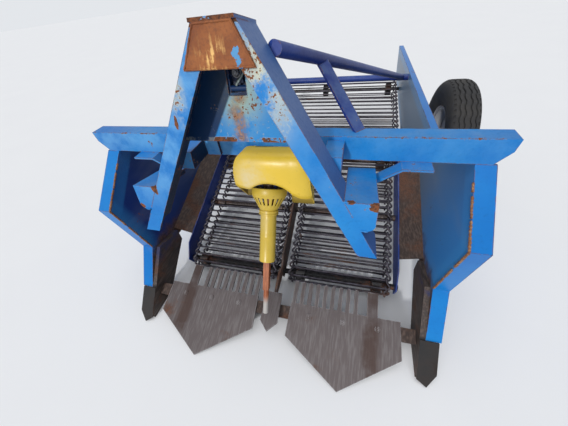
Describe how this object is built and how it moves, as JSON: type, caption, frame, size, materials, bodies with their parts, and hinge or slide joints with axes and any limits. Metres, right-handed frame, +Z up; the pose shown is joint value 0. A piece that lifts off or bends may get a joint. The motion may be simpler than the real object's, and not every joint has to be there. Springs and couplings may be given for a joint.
{
  "type": "two-row mounted potato harvester",
  "caption": "Mounted potato harvester: leaning A-frame headstock, front beam, deep side walls, two shares, twin rod webs, a cascade rod web and two support wheels.",
  "frame": {"origin": "on the ground under the middle of the bounding box", "axes": "+Y to the rear of the machine, away from the tractor, +X to the right seen from the tractor, +Z up"},
  "size_m": [2.11, 3.0532, 1.2819],
  "materials": {
    "blue_paint": "satin",
    "dark_blue_paint": "satin",
    "rusty_steel": "rough",
    "worn_steel": "worn",
    "web_steel": "worn",
    "black_steel": "rough",
    "yellow_plastic": "matte",
    "wheel_paint": "satin",
    "tyre_rubber": "matte"
  },
  "bodies": {
    "frame": {"headstock_leg_left": "blue_paint", "headstock_leg_right": "blue_paint", "headstock_top_plate": "rusty_steel", "headstock_web_plate": "blue_paint", "headstock_cap": "blue_paint", "hitch_brackets": "blue_paint", "headstock_stays": "blue_paint", "front_beam": "blue_paint", "back_strut_left": "dark_blue_paint", "back_strut_right": "dark_blue_paint", "strut_posts": "dark_blue_paint", "rear_cross_bar": "dark_blue_paint", "side_wall_left": "dark_blue_paint", "side_wall_right": "dark_blue_paint", "side_knives": "rusty_steel", "aprons": "rusty_steel", "share_left": "worn_steel", "share_right": "worn_steel", "share_centre": "worn_steel", "centre_standard": "rusty_steel", "share_beam": "dark_blue_paint", "web_rails": "dark_blue_paint", "web_divider": "rusty_steel", "mid_cross_tube": "dark_blue_paint", "main_web_left": "web_steel", "main_web_right": "web_steel", "front_rollers": "black_steel", "main_drive_shaft": "worn_steel", "cascade_web": "web_steel", "cascade_front_roller": "black_steel", "cascade_rear_roller": "black_steel", "gearbox": "dark_blue_paint", "shaft_hood": "yellow_plastic", "drive_tube": "dark_blue_paint", "chain_case": "dark_blue_paint", "cascade_chain_case": "dark_blue_paint", "axle_left": "dark_blue_paint", "axle_right": "dark_blue_paint"},
    "wheel_left": {"rim_left": "wheel_paint", "tyre_left": "tyre_rubber"},
    "wheel_right": {"rim_right": "wheel_paint", "tyre_right": "tyre_rubber"},
    "shaft_cross": {"shaft_joint": "black_steel"},
    "shaft_guard": {"shaft_guard": "yellow_plastic"},
    "shaft_core": {"shaft_profile": "rusty_steel"}
  },
  "joints": [
    {"name": "wheel_left_spin", "type": "hinge", "parent": "frame", "child": "wheel_left", "pos_m": [-0.965, 0.14161, 0.3675], "axis": [1, 0, 0], "continuous": true},
    {"name": "wheel_right_spin", "type": "hinge", "parent": "frame", "child": "wheel_right", "pos_m": [0.965, 0.14161, 0.3675], "axis": [1, 0, 0], "continuous": true},
    {"name": "shaft_lift", "type": "hinge", "parent": "frame", "child": "shaft_cross", "pos_m": [0, -1.00839, 0.7], "axis": [-1, 0, 0], "range_deg": [0, 57]},
    {"name": "shaft_swing", "type": "hinge", "parent": "shaft_cross", "child": "shaft_guard", "pos_m": [0, -1.00839, 0.7], "axis": [0, 0.8387, -0.5446], "range_deg": [-15, 6]},
    {"name": "shaft_spin", "type": "hinge", "parent": "shaft_guard", "child": "shaft_core", "pos_m": [0, -1.06285, 0.61613], "axis": [0, -0.5446, -0.8387], "continuous": true}
  ]
}
